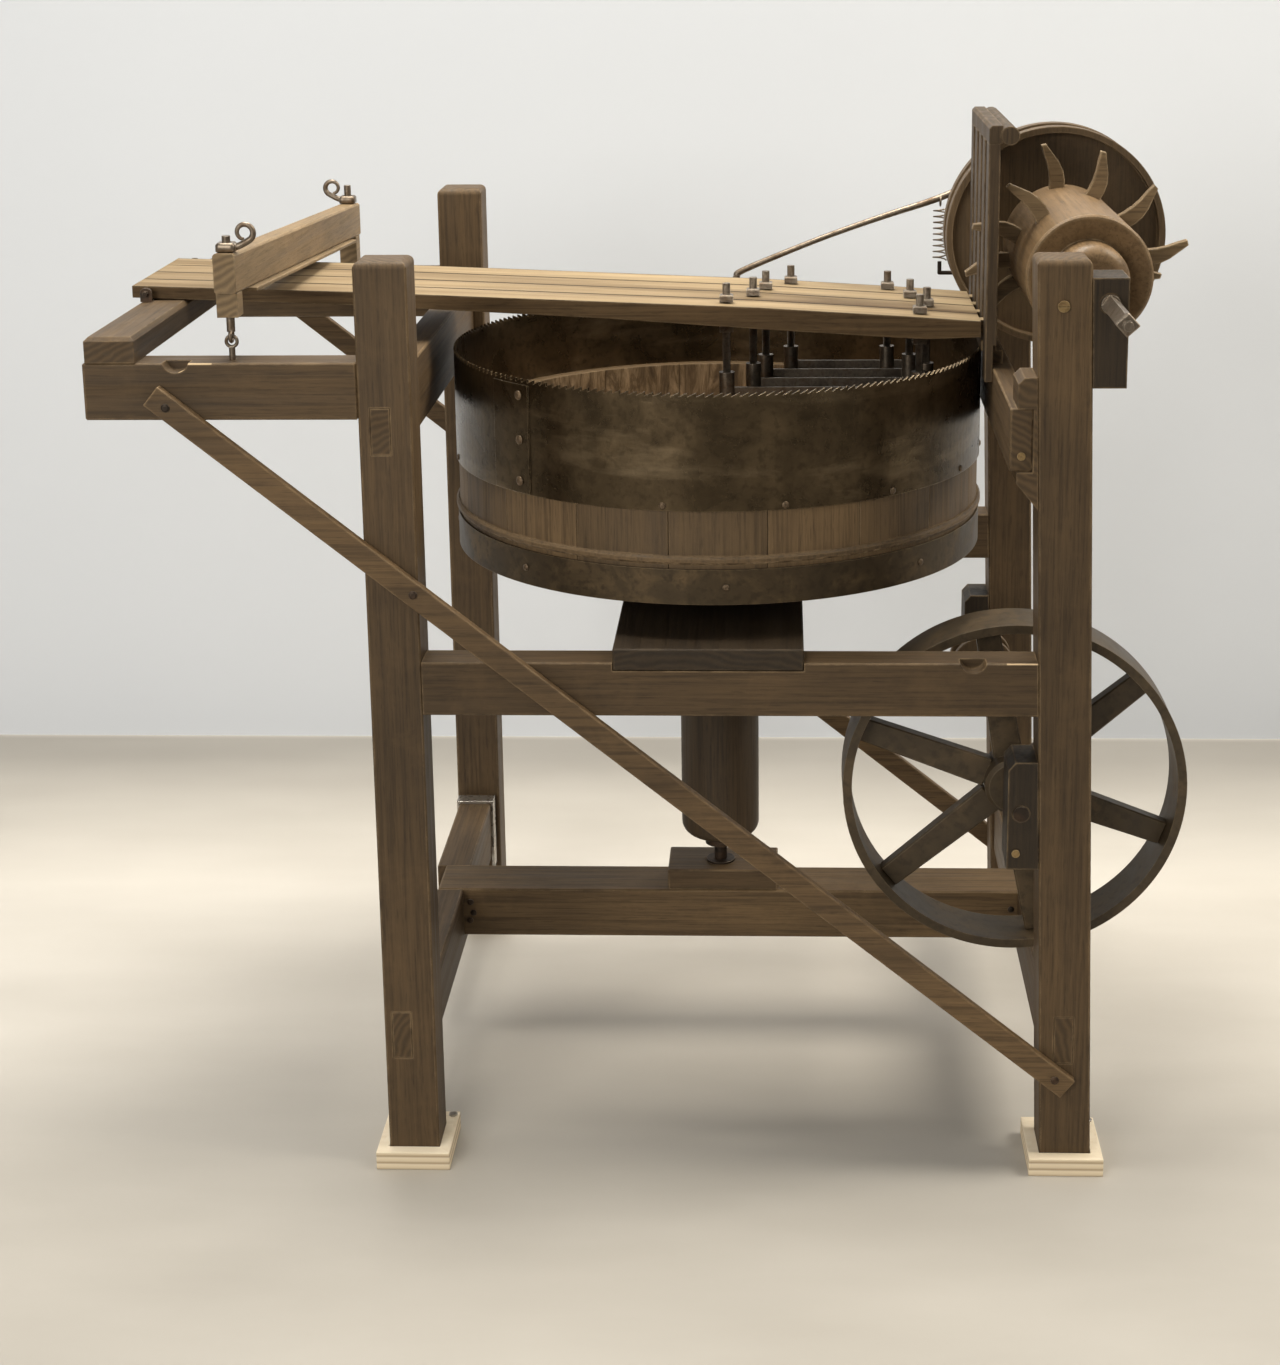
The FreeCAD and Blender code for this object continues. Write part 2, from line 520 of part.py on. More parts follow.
arm_a = arm_a.cut(mid).cut(hole)
arm_b = arm_b.cut(mid2).cut(hole)
save("tub_cross_arms", [arm_a, arm_b])
sp = cyl((TX, TY, 238.0), (0, 0, 1), SPINDLE_R, 558.9 - 238.0)
sp = sp.makeFillet(16.0, [e for e in sp.Edges if len(e.Vertexes) == 1 and abs(e.Vertexes[0].Point.z - 238.0) < 0.1])
sp = sp.fuse(cyl((TX, TY, 550), (0, 0, 1), SPINDLE_R * 0.55, Z_TUB0 - 550)).removeSplitter()
sp = sp.cut(cyl((TX, TY, 230), (0, 0, 1), PIVOT_R, 60))
save("spindle", sp)
piv = cyl((TX, TY, 199.4), (0, 0, 1), PIVOT_R, 290 - 199.4).fuse(cyl((TX, TY, 226), (0, 0, 1), 17.0, 11.9)).removeSplitter()
save("spindle_pivot", piv)

# ---------------------------------------------------------------- levers with their knives
blade_sets = []
for i in range(LEVER_N):
    y0 = LEVER_Y0 + 0.4 + i * LEVER_PITCH
    y1 = y0 + LEVER_W
    yc = (y0 + y1) / 2
    lv = xz(LEVER_TOP + LEVER_BOT, y0, y1)
    # narrow tongue entering the comb slot
    lv = lv.fuse(box(240, 271.0, yc - 8, yc + 8, 820.0, 833.0)).removeSplitter()
    lv = lv.cut(cyl((PIN_X, y0 - 1, PIN_Z), (0, 1, 0), PIN_R + 0.06, LEVER_W + 2))
    xa, xb_ = ROD_X[i]
    for x in (xa, xb_):
        lv = lv.cut(cyl((x, yc, 780), (0, 0, 1), ROD_R + 0.1, 120))
    save("lever_%d" % (i + 1), lv)
    ztop = lambda x: 849 + (x - 28) * (840 - 849) / (172 - 28.0)
    zbot = lambda x: 827 + (x - 28) * (817.5 - 827) / (172 - 28.0)
    hw = []
    for x in (xa, xb_):
        zt, zb = ztop(x), zbot(x)
        rod = cyl((x, yc, BLADE_Z1 - 4 + 12), (0, 0, 1), ROD_R, zt + 20 - (BLADE_Z1 + 8))
        clev = cyl((x, yc, BLADE_Z1 - 22), (0, 0, 1), 8.0, 38)
        clev = clev.cut(box(x - 12, x + 12, yc - BLADE_T / 2 - 0.1, yc + BLADE_T / 2 + 0.1, BLADE_Z1 - 30, BLADE_Z1 + 6))
        rod = rod.fuse(clev).removeSplitter()
        rod = rod.cut(cyl((x, yc - 20, BLADE_Z1 - 12), (0, 1, 0), 2.5, 40))
        hw.append(rod)
        hw.append(cyl((x, yc - 9.5, BLADE_Z1 - 12), (0, 1, 0), 2.45, 19))
        sl = 7.5 * 9.0 / 144
        hw.append(square_nut(x, yc, zt + 1.2))
        hw.append(square_nut(x, yc, zb - 1.4 - 7.0))
    x0, x1 = xa - 26, xb_ + 26
    bl = xz([(x0, BLADE_Z1 - 34), (x0 + 30, BLADE_Z1), (x1, BLADE_Z1), (x1 + 2, BLADE_Z0 + 10), (x1 - 8, BLADE_Z0), (x0 + 8, BLADE_Z0), (x0, BLADE_Z0 + 8)], yc - BLADE_T / 2, yc + BLADE_T / 2)
    for x in (xa, xb_):
        bl = bl.cut(cyl((x, yc - 20, BLADE_Z1 - 12), (0, 1, 0), 2.5, 40))
    save("knife_%d" % (i + 1), [bl] + hw)

# ---------------------------------------------------------------- drum, its shaft and pulley
drum = cyl((DX, DRUM_Y0, DZ), (0, 1, 0), DRUM_R, DRUM_Y1 - DRUM_Y0)
dish = Part.makeCone(DRUM_R - 4, 26, 15, V(DX, DRUM_Y0, DZ), V(0, 1, 0))
drum = drum.cut(dish)
drum = drum.cut(cyl((DX, DRUM_Y0 - 20, DZ), (0, 1, 0), SHAFT_R, 300))
drum = drum.makeChamfer(2.0, [e for e in drum.Edges if len(e.Vertexes) == 1 and abs(e.Length - 2 * math.pi * DRUM_R) < 1])


def peg(a_deg, yc):
    a = math.radians(a_deg)
    n = 6
    left, right = [], []
    for k in range(n + 1):
        t = k / n
        r = DRUM_R - 14 + (PEG_TIP - DRUM_R + 14) * t
        bulge = -9.0 * math.sin(math.pi * min(1.0, t * 1.05)) * 0.8
        w = 8.0 * (1 - t) + 2.6 * t + (2.2 * math.sin(math.pi * t))
        for lst, s in ((left, 1), (right, -1)):
            o = bulge + s * w
            lst.append((DX + r * math.cos(a) - o * math.sin(a), DZ + r * math.sin(a) + o * math.cos(a)))
    return xz(left + right[::-1], yc - 5.5, yc + 5.5)


pegs = []
for k in range(12):
    i = k % LEVER_N
    yc = LEVER_Y0 + 0.4 + LEVER_W / 2 + i * LEVER_PITCH
    p = peg(PEG_PHASE + 30 * k, yc)
    drum = drum.cut(p)
    pegs.append(p)
save("drum_pegs", pegs)
shaft = cyl((DX, -6.0, DZ), (0, 1, 0), SHAFT_R, DEPTH + 6 + 4)
sq = box(DX - 6.5, DX + 6.5, -104.0, 0.0, DZ - 6.5, DZ + 6.5)
sq.rotate(V(DX, 0, DZ), V(0, 1, 0), SQ_TURN)
shaft = shaft.fuse(sq).fuse(cyl((DX, -119.0, DZ), (0, 1, 0), 4.5, 20)).removeSplitter()
nut = box(DX - 8, DX + 8, -113, -104.2, DZ - 8, DZ + 8, 0.9)
nut.rotate(V(DX, 0, DZ), V(0, 1, 0), SQ_TURN + 12)
nut = nut.cut(cyl((DX, -120, DZ), (0, 1, 0), 4.55, 20))
save("drum_shaft", [shaft, nut])
hub = cyl((DX, 118.0, DZ), (0, 1, 0), HUB_R, 46.0).cut(cyl((DX, 100, DZ), (0, 1, 0), SHAFT_R, 80))
hub = hub.cut(drum)
hub = max(hub.Solids, key=lambda q: q.Volume)
hub = hub.makeFillet(14.0, [e for e in hub.Edges if len(e.Vertexes) == 1 and abs(e.Length - 2 * math.pi * HUB_R) < 1 and abs(e.Vertexes[0].Point.y - 118) < 0.1])
save("drum", [drum, hub])
w = cyl((DX, PULLEY_Y0, DZ), (0, 1, 0), PULLEY_R, PULLEY_Y1 - PULLEY_Y0)
w = w.cut(cyl((DX, PULLEY_Y0 - 1, DZ), (0, 1, 0), PULLEY_R - 7, 16)).cut(cyl((DX, PULLEY_Y1 - 15, DZ), (0, 1, 0), PULLEY_R - 7, 16))
w = w.cut(cyl((DX, (PULLEY_Y0 + PULLEY_Y1) / 2 - 12, DZ), (0, 1, 0), PULLEY_R + 5, 24).cut(cyl((DX, PULLEY_Y0 - 5, DZ), (0, 1, 0), PULLEY_R - 3, 80)))
w = w.cut(cyl((DX, PULLEY_Y0 - 20, DZ), (0, 1, 0), SHAFT_R, 120))
save("drive_pulley", w)


# bearing blocks screwed to the posts
def bearing(x0, x1, y0, z0, z1, cx, cz, r, bevel):
    b = xz([(x0(z0), z0), (x1, z0), (x1, z1 - bevel), (x1 - bevel * 0.6, z1), (x0(z1), z1)], y0, y0 + POST - 0.4)
    return b.cut(cyl((cx, y0 - 5, cz), (0, 1, 0), r + 0.06, 80))


db = [bearing(rx, 372.5, 0.2, 808.0, 912.0, DX, DZ, SHAFT_R, 0.01), bearing(rx, 372.5, YB + 0.2, 808.0, 912.0, DX, DZ, SHAFT_R, 0.01)]
inner = lambda z: rx(z) - POST


def bearing_l(y0):
    z0, z1 = 326.0, 437.0
    b = xz([(inner(z0), z0), (inner(z1), z1), (271 + 7, z1), (271, z1 - 8), (271, z0)], y0, y0 + POST - 0.4)
    return b.cut(cyl((FX, y0 - 5, FZ), (0, 1, 0), 8.0 + 0.06, 80))


save("bearing_blocks", db + [bearing_l(0.2), bearing_l(YB + 0.2)])
bs = []
for x, z in ((300.0 + 12, 886.0), ):
    c = cyl((x, -3.0, z), (0, 1, 0), 5.6, 2.9)
    bs.append(c.cut(box(x - 6, x + 6, -4, -1.6, z - 0.7, z + 0.7)))
bs.append(cyl((276.5, 3.2, 742.0), (0, 1, 0), 4.0, 1.75))
bs.append(cyl((279.5, -1.6, 343.0), (0, 1, 0), 4.0, 1.75))
save("frame_screws", bs)

# ---------------------------------------------------------------- flywheel and lower shaft
rim = cyl((FX, FLY_Y0, FZ), (0, 1, 0), FLY_R, FLY_Y1 - FLY_Y0).cut(cyl((FX, FLY_Y0 - 1, FZ), (0, 1, 0), FLY_R - FLY_T, FLY_Y1 - FLY_Y0 + 2))
save("flywheel_rim", rim)
spokes = []
ymid = (FLY_Y0 + FLY_Y1) / 2
for k in range(6):
    a = math.radians(-20.0 + 60 * k)
    r0, r1 = 27.0, FLY_R - FLY_T - 0.1
    w0, w1 = 15.0, 12.0
    P = [(r0, -w0), (r1, -w1), (r1, w1), (r0, w0)]
    s = xz([(FX + p * math.cos(a) - q * math.sin(a), FZ + p * math.sin(a) + q * math.cos(a)) for p, q in P], ymid - 8, ymid + 8, 1.5)
    spokes.append(s.common(cyl((FX, 0, FZ), (0, 1, 0), r1, 200)))
fh = cyl((FX, ymid - 26, FZ), (0, 1, 0), 29.0, 52.0)
fh = fh.makeChamfer(4.0, [e for e in fh.Edges if len(e.Vertexes) == 1])
for s in spokes:
    fh = fh.cut(s)
fh = fh.cut(cyl((FX, 0, FZ), (0, 1, 0), 8.0, 300))
save("flywheel_spokes", spokes + [max(fh.Solids, key=lambda q: q.Volume)])
save("flywheel_shaft", cyl((FX, -1.0, FZ), (0, 1, 0), 8.0, DEPTH + 2))
sp2 = cyl((FX, 448, FZ), (0, 1, 0), 36.0, 40)
sp2 = sp2.cut(cyl((FX, 456, FZ), (0, 1, 0), 50.0, 24).cut(cyl((FX, 440, FZ), (0, 1, 0), 29.0, 60))).cut(cyl((FX, 400, FZ), (0, 1, 0), 8.0, 300))
save("small_pulley", sp2)

# ---------------------------------------------------------------- pawl that steps the tub round
px, pz = PAWL_PIVOT
path = [(px - 7, PAWL_Y, pz - 2), (232, PAWL_Y, 913), (110, PAWL_Y, 872), (4, PAWL_Y, 830), (-8, PAWL_Y, 801.5)]
pw = pipe(path, 3.8).fuse(cyl((px, PAWL_Y - 4.5, pz), (0, 1, 0), 8.5, 9.0)).removeSplitter()
pw = pw.cut(cyl((px, PAWL_Y - 10, pz), (0, 1, 0), 3.06, 20)).cut(box(-40, 20, 500, 640, 700, 800.2))
pawl = max(pw.Solids, key=lambda q: q.Volume)
lugs = []
for y in (PAWL_Y - 8.0, PAWL_Y + 5.0):
    s = box(px - 9, px + 9, y, y + 3, POST_TOP + 0.1, pz + 8)
    s = s.makeFillet(7.5, [e for e in s.Edges if abs(e.Length - 3) < 0.01 and all(v.Point.z > pz + 7 for v in e.Vertexes)])
    lugs.append(s.cut(cyl((px, y - 1, pz), (0, 1, 0), 3.02, 6)))
base = box(px - 12, px + 9, PAWL_Y - 12, PAWL_Y + 12, POST_TOP + 0.1, POST_TOP + 3.0)
for s in lugs:
    base = base.cut(s)
save("pawl_bracket", lugs + base.Solids + [cyl((px, PAWL_Y - 11, pz), (0, 1, 0), 3.0, 22)])
SX = 236.0
SZ0, SZ1 = 841.0, 902.5
save("pawl", [pawl, torus((SX, PAWL_Y, 913.2), (1, 0, 0), 7.0, 1.2)])
h = Part.makeHelix((SZ1 - SZ0) / 9.0, SZ1 - SZ0, 7.5)
h.translate(V(SX, PAWL_Y, SZ0))
prof = Part.Wire(Part.makeCircle(0.9, V(SX + 7.5, PAWL_Y, SZ0), V(0, 1, 0)))
coil = Part.Wire(h).makePipeShell([prof], True, True)
save("pawl_spring", coil)
hook = pipe([(inner(826) - 0.2, PAWL_Y, 826.0), (SX, PAWL_Y, 826.0), (SX, PAWL_Y, 839.5)], 2.4)
save("spring_hook", hook)
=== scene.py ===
import bpy, bmesh, math, random
from mathutils import Vector, Matrix, noise


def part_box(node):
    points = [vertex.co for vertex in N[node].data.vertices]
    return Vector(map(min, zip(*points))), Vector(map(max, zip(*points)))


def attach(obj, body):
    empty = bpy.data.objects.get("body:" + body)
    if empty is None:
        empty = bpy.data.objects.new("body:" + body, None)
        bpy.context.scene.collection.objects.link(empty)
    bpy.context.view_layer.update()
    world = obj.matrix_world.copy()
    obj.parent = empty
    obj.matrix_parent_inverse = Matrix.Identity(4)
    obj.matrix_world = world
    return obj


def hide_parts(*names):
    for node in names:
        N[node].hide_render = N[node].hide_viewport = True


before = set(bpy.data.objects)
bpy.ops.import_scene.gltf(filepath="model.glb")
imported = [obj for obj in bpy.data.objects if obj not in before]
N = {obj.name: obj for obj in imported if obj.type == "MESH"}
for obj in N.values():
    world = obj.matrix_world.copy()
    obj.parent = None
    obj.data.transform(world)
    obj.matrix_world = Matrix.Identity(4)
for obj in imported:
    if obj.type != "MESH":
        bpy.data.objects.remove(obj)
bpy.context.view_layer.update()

random.seed(7)

# ------------------------------------------------------------------ frame of reference
OX, OY = -70.5, 257.35          # mm, layout frame to row frame


def L(x, y, z):
    """layout millimetres to row metres"""
    return Vector(((x - OX) / 1000, (y - OY) / 1000, z / 1000))


# ------------------------------------------------------------------ camera
cam_data = bpy.data.cameras.new("camera")
cam = bpy.data.objects.new("camera", cam_data)
bpy.context.scene.collection.objects.link(cam)
right = Vector((9.99306626e-01, 3.59886415e-02, -9.54387193e-03))
down = Vector((-8.93147073e-04, -2.33086432e-01, -9.72455612e-01))
fwd = Vector((-3.72219034e-02, 9.71789860e-01, -2.32892673e-01))
M = Matrix((right, -down, -fwd)).transposed().to_4x4()
M.translation = L(50.6705562, -2159.88734594, 1257.50509435)
cam.matrix_world = M
cam_data.sensor_width = 36.0
cam_data.lens = 2350.0 / 1365.0 * 36.0
cam_data.shift_x = (640.0 - 694.0) / 1365.0
cam_data.shift_y = (460.0 - 682.5) / 1365.0
cam_data.clip_start, cam_data.clip_end = 0.05, 60.0
bpy.context.scene.camera = cam
bpy.context.scene.view_settings.view_transform = "Standard"


# ------------------------------------------------------------------ material helpers
class Mat:
    def __init__(self, name, boards=True):
        self.boards = boards
        self.m = bpy.data.materials.new(name)
        self.m.use_nodes = True
        self.t = self.m.node_tree
        self.t.nodes.clear()
        self.out = self.n("ShaderNodeOutputMaterial")
        self.b = self.n("ShaderNodeBsdfPrincipled")
        self.l(self.b, "BSDF", self.out, "Surface")
        self.tc = self.n("ShaderNodeTexCoord")
        self.geo = self.n("ShaderNodeNewGeometry")

    def n(self, kind, **kw):
        x = self.t.nodes.new(kind)
        for k, v in kw.items():
            setattr(x, k, v)
        return x

    def l(self, a, ao, b, bi):
        self.t.links.new(a.outputs[ao], b.inputs[bi])

    def val(self, node, **kw):
        for k, v in kw.items():
            node.inputs[k.replace("_", " ")].default_value = v
        return node

    def coords(self, scale=(1, 1, 1), rot=(0, 0, 0), island=1.0):
        """object coordinates, moved by a random amount for each separate board"""
        mp = self.n("ShaderNodeMapping")
        mp.inputs["Rotation"].default_value = rot
        mp.inputs["Scale"].default_value = scale
        if island and self.boards:
            w = self.n("ShaderNodeVectorMath", operation="MULTIPLY_ADD")
            cx = self.n("ShaderNodeCombineXYZ")
            for i, k in enumerate((1.0, 1.7, 2.3)):
                mu = self.n("ShaderNodeMath", operation="MULTIPLY")
                mu.inputs[1].default_value = k * island
                self.l(self.geo, "Random Per Island", mu, 0)
                self.l(mu, 0, cx, i)
            ad = self.n("ShaderNodeVectorMath", operation="ADD")
            self.l(self.tc, "Object", ad, 0)
            self.l(cx, 0, ad, 1)
            self.l(ad, 0, mp, "Vector")
        else:
            self.l(self.tc, "Object", mp, "Vector")
        return mp

    def noise(self, vec, scale, detail=4.0, rough=0.55, dist=0.0):
        x = self.n("ShaderNodeTexNoise")
        self.l(vec, 0, x, "Vector")
        x.inputs["Scale"].default_value = scale
        x.inputs["Detail"].default_value = detail
        x.inputs["Roughness"].default_value = rough
        x.inputs["Distortion"].default_value = dist
        return x

    def ramp(self, src, stops, out="Fac"):
        r = self.n("ShaderNodeValToRGB")
        self.l(src, out, r, "Fac")
        e = r.color_ramp.elements
        while len(e) < len(stops):
            e.new(0.5)
        for k, (p, c) in zip(e, stops):
            k.position = p
            k.color = (c, c, c, 1) if isinstance(c, (int, float)) else (*c, 1)
        return r

    def mix(self, a, b, fac, mode="MIX"):
        """a and b are (node, output) or colours; fac likewise or a number"""
        x = self.n("ShaderNodeMix", data_type="RGBA", blend_type=mode)
        for src, i in ((a, 6), (b, 7)):
            if isinstance(src[0], (int, float)):
                x.inputs[i].default_value = (*src, 1)
            else:
                self.t.links.new(src[0].outputs[src[1]], x.inputs[i])
        if isinstance(fac, (int, float)):
            x.inputs[0].default_value = fac
        else:
            self.t.links.new(fac[0].outputs[fac[1]], x.inputs[0])
        return (x, 2)

    def math(self, op, a, b=None, clamp=False):
        x = self.n("ShaderNodeMath", operation=op, use_clamp=clamp)
        for i, s in enumerate((a, b)):
            if s is None:
                continue
            if isinstance(s, (int, float)):
                x.inputs[i].default_value = s
            else:
                self.t.links.new(s[0].outputs[s[1]], x.inputs[i])
        return (x, 0)

    def edge(self, radius=0.0025):
        """1 on worn edges, 0 on flats"""
        bv = self.n("ShaderNodeBevel")
        bv.samples = 4
        bv.inputs["Radius"].default_value = radius
        d = self.n("ShaderNodeVectorMath", operation="DOT_PRODUCT")
        self.l(bv, "Normal", d, 0)
        self.l(self.geo, "Normal", d, 1)
        inv = self.math("SUBTRACT", 1.0, (d, "Value"))
        return self.math("MULTIPLY", inv, 5.0, clamp=True)

    def bump(self, height, dist=0.001, strength=0.6, normal=None):
        x = self.n("ShaderNodeBump")
        x.inputs["Strength"].default_value = strength
        x.inputs["Distance"].default_value = dist
        self.t.links.new(height[0].outputs[height[1]], x.inputs["Height"])
        if normal is not None:
            self.t.links.new(normal[0].outputs[normal[1]], x.inputs["Normal"])
        return (x, "Normal")

    def set(self, **kw):
        names = {"color": "Base Color", "rough": "Roughness", "metal": "Metallic", "normal": "Normal", "spec": "Specular IOR Level"}
        for k, v in kw.items():
            s = self.b.inputs[names[k]]
            if isinstance(v, tuple) and hasattr(v[0], "outputs"):
                self.t.links.new(v[0].outputs[v[1]], s)
            elif isinstance(v, tuple):
                s.default_value = (*v, 1)
            else:
                s.default_value = v


def wood(name, axis="Z", dark=(0.045, 0.024, 0.012), mid=(0.12, 0.07, 0.038), light=(0.24, 0.15, 0.085), worn=(0.36, 0.24, 0.14),
         wear=0.8, rough=(0.5, 0.72), fine=1.0, tilt=0.0, spec=0.35, knots=True, topworn=0.0, contrast=0.85, figure=0.48, notch_highlights=(), gap_shade=None, flecks=0.36, endgrain=True, inner=None, boards=False):
    m = Mat(name, boards)
    a = {"X": 0, "Y": 1, "Z": 2}[axis]
    long_ = [38.0, 38.0, 38.0]
    long_[a] = 1.9
    fine_ = [260.0, 260.0, 260.0]
    fine_[a] = 6.5
    rot = (0, tilt, 0)
    # broad figure of the grain, bent a little round knots
    cm = m.coords(long_, rot)
    n1 = m.noise(cm, 1.0, 6.0, 0.62, 0.9)
    cf = m.coords(fine_, rot)
    n2 = m.noise(cf, 1.0, 5.0, 0.7, 0.3)
    # slow change of stain along and across the board
    cs = m.coords((2.6, 2.6, 2.6), (0, 0, 0))
    n3 = m.noise(cs, 1.0, 4.0, 0.55, 0.4)
    blend = lambda p, q, k: tuple(a_ * (1 - k) + b_ * k for a_, b_ in zip(p, q))
    col = m.ramp(n1, [(0.26, blend(mid, dark, 0.95 * figure)), (0.46, mid), (0.62, blend(mid, light, 0.3 * figure)), (0.82, blend(mid, light, figure))])
    col = m.mix((col, 0), m_color(dark, 0.6), m.math("MULTIPLY", (m.ramp(n2, [(0.38, 1.0), (0.52, 0.0)]), 0), 0.55 * contrast))
    col = m.mix(col, m_color(light, 1.0), m.math("MULTIPLY", (m.ramp(n2, [(0.54, 0.0), (0.72, 1.0)]), 0), 0.32 * contrast))
    st = m.ramp(n3, [(0.30, 0.62), (0.55, 1.0), (0.75, 1.22)])
    col = m.mix(col, (st, 0), 1.0, "MULTIPLY")
    # every board has its own tone
    if boards:
        tone = m.n("ShaderNodeMapRange")
        m.l(m.geo, "Random Per Island", tone, "Value")
        tone.inputs["To Min"].default_value = 0.86
        tone.inputs["To Max"].default_value = 1.15
        cc = m.n("ShaderNodeCombineColor")
        for i in range(3):
            m.l(tone, 0, cc, i)
        col = m.mix(col, (cc, 0), 1.0, "MULTIPLY")
    # short open pores
    fl = [520.0, 520.0, 520.0]
    fl[a] = 46.0
    n4 = m.noise(m.coords(fl, rot), 1.0, 2.0, 0.5)
    col = m.mix(col, m_color(dark, 0.55), m.math("MULTIPLY", (m.ramp(n4, [(0.30, 1.0), (0.42, 0.0)]), 0), flecks))
    # blotches of old stain and rubbed places
    n5 = m.noise(m.coords((17, 17, 17), (0, 0, 0)), 1.0, 6.0, 0.7, 0.2)
    col = m.mix(col, m_color(mid, 1.55), m.math("MULTIPLY", (m.ramp(n5, [(0.52, 0.0), (0.75, 1.0)]), 0), 0.35))
    col = m.mix(col, m_color(dark, 0.8), m.math("MULTIPLY", (m.ramp(n5, [(0.25, 1.0), (0.44, 0.0)]), 0), 0.3))
    # end grain
    sp = m.n("ShaderNodeSeparateXYZ")
    m.l(m.tc, "Normal", sp, 0)
    ab = m.math("ABSOLUTE", (sp, a))
    endm = m.math("GREATER_THAN", ab, 0.86)
    ce = m.coords((1, 1, 1), (0, 0, 0))
    wv = m.n("ShaderNodeTexWave", wave_type="RINGS", rings_direction=axis)
    m.l(ce, 0, wv, "Vector")
    wv.inputs["Scale"].default_value = 42.0
    wv.inputs["Distortion"].default_value = 9.0
    wv.inputs["Detail"].default_value = 3.0
    wv.inputs["Detail Scale"].default_value = 0.6
    ec = m.ramp(wv, [(0.0, m_color(mid, 0.62)), (0.6, m_color(mid, 0.85)), (1.0, m_color(mid, 1.05))])
    if endgrain and not tilt:
        col = m.mix(col, (ec, 0), endm)
    # worn, paler edges with patchy strength, and small dents
    cw = m.coords((42, 42, 42), (0, 0, 0))
    nw = m.noise(cw, 1.0, 5.0, 0.65)
    ed = m.edge(0.0028)
    wm = m.math("MULTIPLY", ed, (m.ramp(nw, [(0.36, 0.0), (0.6, 1.0)]), 0))
    wm = m.math("MULTIPLY", wm, wear, clamp=True)
    col = m.mix(col, m_color(worn, 1.0), wm)
    if topworn:
        up = m.math("MULTIPLY", m.math("GREATER_THAN", (sp, 2), 0.8), topworn)
        tw = m.noise(m.coords([c * 0.5 for c in long_], rot), 1.0, 5.0, 0.6, 0.5)
        col = m.mix(col, (m.ramp(tw, [(0.3, mid), (0.7, worn)]), 0), up)
    # painted highlight: the upward-facing curved faces in the notch hollows are painted pale, standing in for light
    # falling into them from above
    for px_, py_, pz_, pr_ in notch_highlights:
        dd = m.n("ShaderNodeVectorMath", operation="DISTANCE")
        m.l(m.tc, "Object", dd, 0)
        dd.inputs[1].default_value = (px_, py_, pz_)
        near = m.math("LESS_THAN", (dd, "Value"), pr_)
        upn = m.math("GREATER_THAN", (sp, 2), 0.04)
        curved = m.math("LESS_THAN", (sp, 2), 0.98)
        col = m.mix(col, (0.50, 0.37, 0.22), m.math("MULTIPLY", m.math("MULTIPLY", near, upn), m.math("MULTIPLY", curved, 0.85)))
    # painted shade: dark ragged bands on the lever tops along the joints between neighbouring levers, standing in
    # for the shade in the gaps between them
    if gap_shade:
        y0_, pitch_, half_ = gap_shade
        yy = m.n("ShaderNodeSeparateXYZ")
        m.l(m.tc, "Object", yy, 0)
        fr = m.math("FRACT", m.math("DIVIDE", m.math("SUBTRACT", (yy, 1), y0_), pitch_))
        dist_ = m.math("MULTIPLY", m.math("MINIMUM", fr, m.math("SUBTRACT", 1.0, fr)), pitch_)
        rag = m.math("MULTIPLY", (n2, 0), half_ * 1.3)
        mask = m.math("LESS_THAN", dist_, m.math("ADD", rag, half_ * 0.45))
        mask = m.math("MULTIPLY", mask, m.math("GREATER_THAN", (sp, 2), 0.5))
        col = m.mix(col, m_color(dark, 0.5), m.math("MULTIPLY", mask, 0.9))
    # scratches and dark spots
    sc = m.n("ShaderNodeTexVoronoi")
    m.l(m.coords((75, 75, 75), (0.4, 0.2, 0.9)), 0, sc, "Vector")
    spots = m.ramp(sc, [(0.03, 1.0), (0.10, 0.0)], "Distance")
    col = m.mix(col, m_color(dark, 0.5), m.math("MULTIPLY", (spots, 0), 0.55))
    rr = m.ramp(n1, [(0.3, rough[0]), (0.7, rough[1])])
    h = m.math("ADD", m.math("MULTIPLY", (n2, 0), 0.5 * fine), m.math("MULTIPLY", (n1, 0), 0.7))
    h = m.math("SUBTRACT", h, m.math("MULTIPLY", (spots, 0), 0.5))
    if inner:
        # the wall facing the axis is torn and splintered by the knives
        vv = m.n("ShaderNodeVectorMath", operation="SUBTRACT")
        m.l(m.tc, "Object", vv, 0)
        vv.inputs[1].default_value = (inner[0], inner[1], 0)
        dt = m.n("ShaderNodeVectorMath", operation="DOT_PRODUCT")
        m.l(vv, 0, dt, 0)
        m.l(m.tc, "Normal", dt, 1)
        ins = m.math("LESS_THAN", (dt, "Value"), -0.05)
        n6 = m.noise(m.coords((70, 70, 15), (0, 0, 0)), 1.0, 7.0, 0.72, 1.0)
        torn = m.ramp(n6, [(0.34, (0.04, 0.024, 0.012)), (0.48, (0.13, 0.086, 0.045)), (0.62, (0.33, 0.235, 0.14))])
        col = m.mix(col, (torn, 0), m.math("MULTIPLY", ins, 0.8))
        h = m.math("ADD", h, m.math("MULTIPLY", (n6, 0), m.math("MULTIPLY", ins, 3.5)))
    bv = m.n("ShaderNodeBevel")
    bv.samples = 4
    bv.inputs["Radius"].default_value = 0.0016
    m.set(color=col, rough=(rr, 0), normal=m.bump(h, 0.0011, 0.55, (bv, 0)), spec=spec)
    return m.m


def m_color(c, k):
    return tuple(min(1.0, x * k) for x in c)


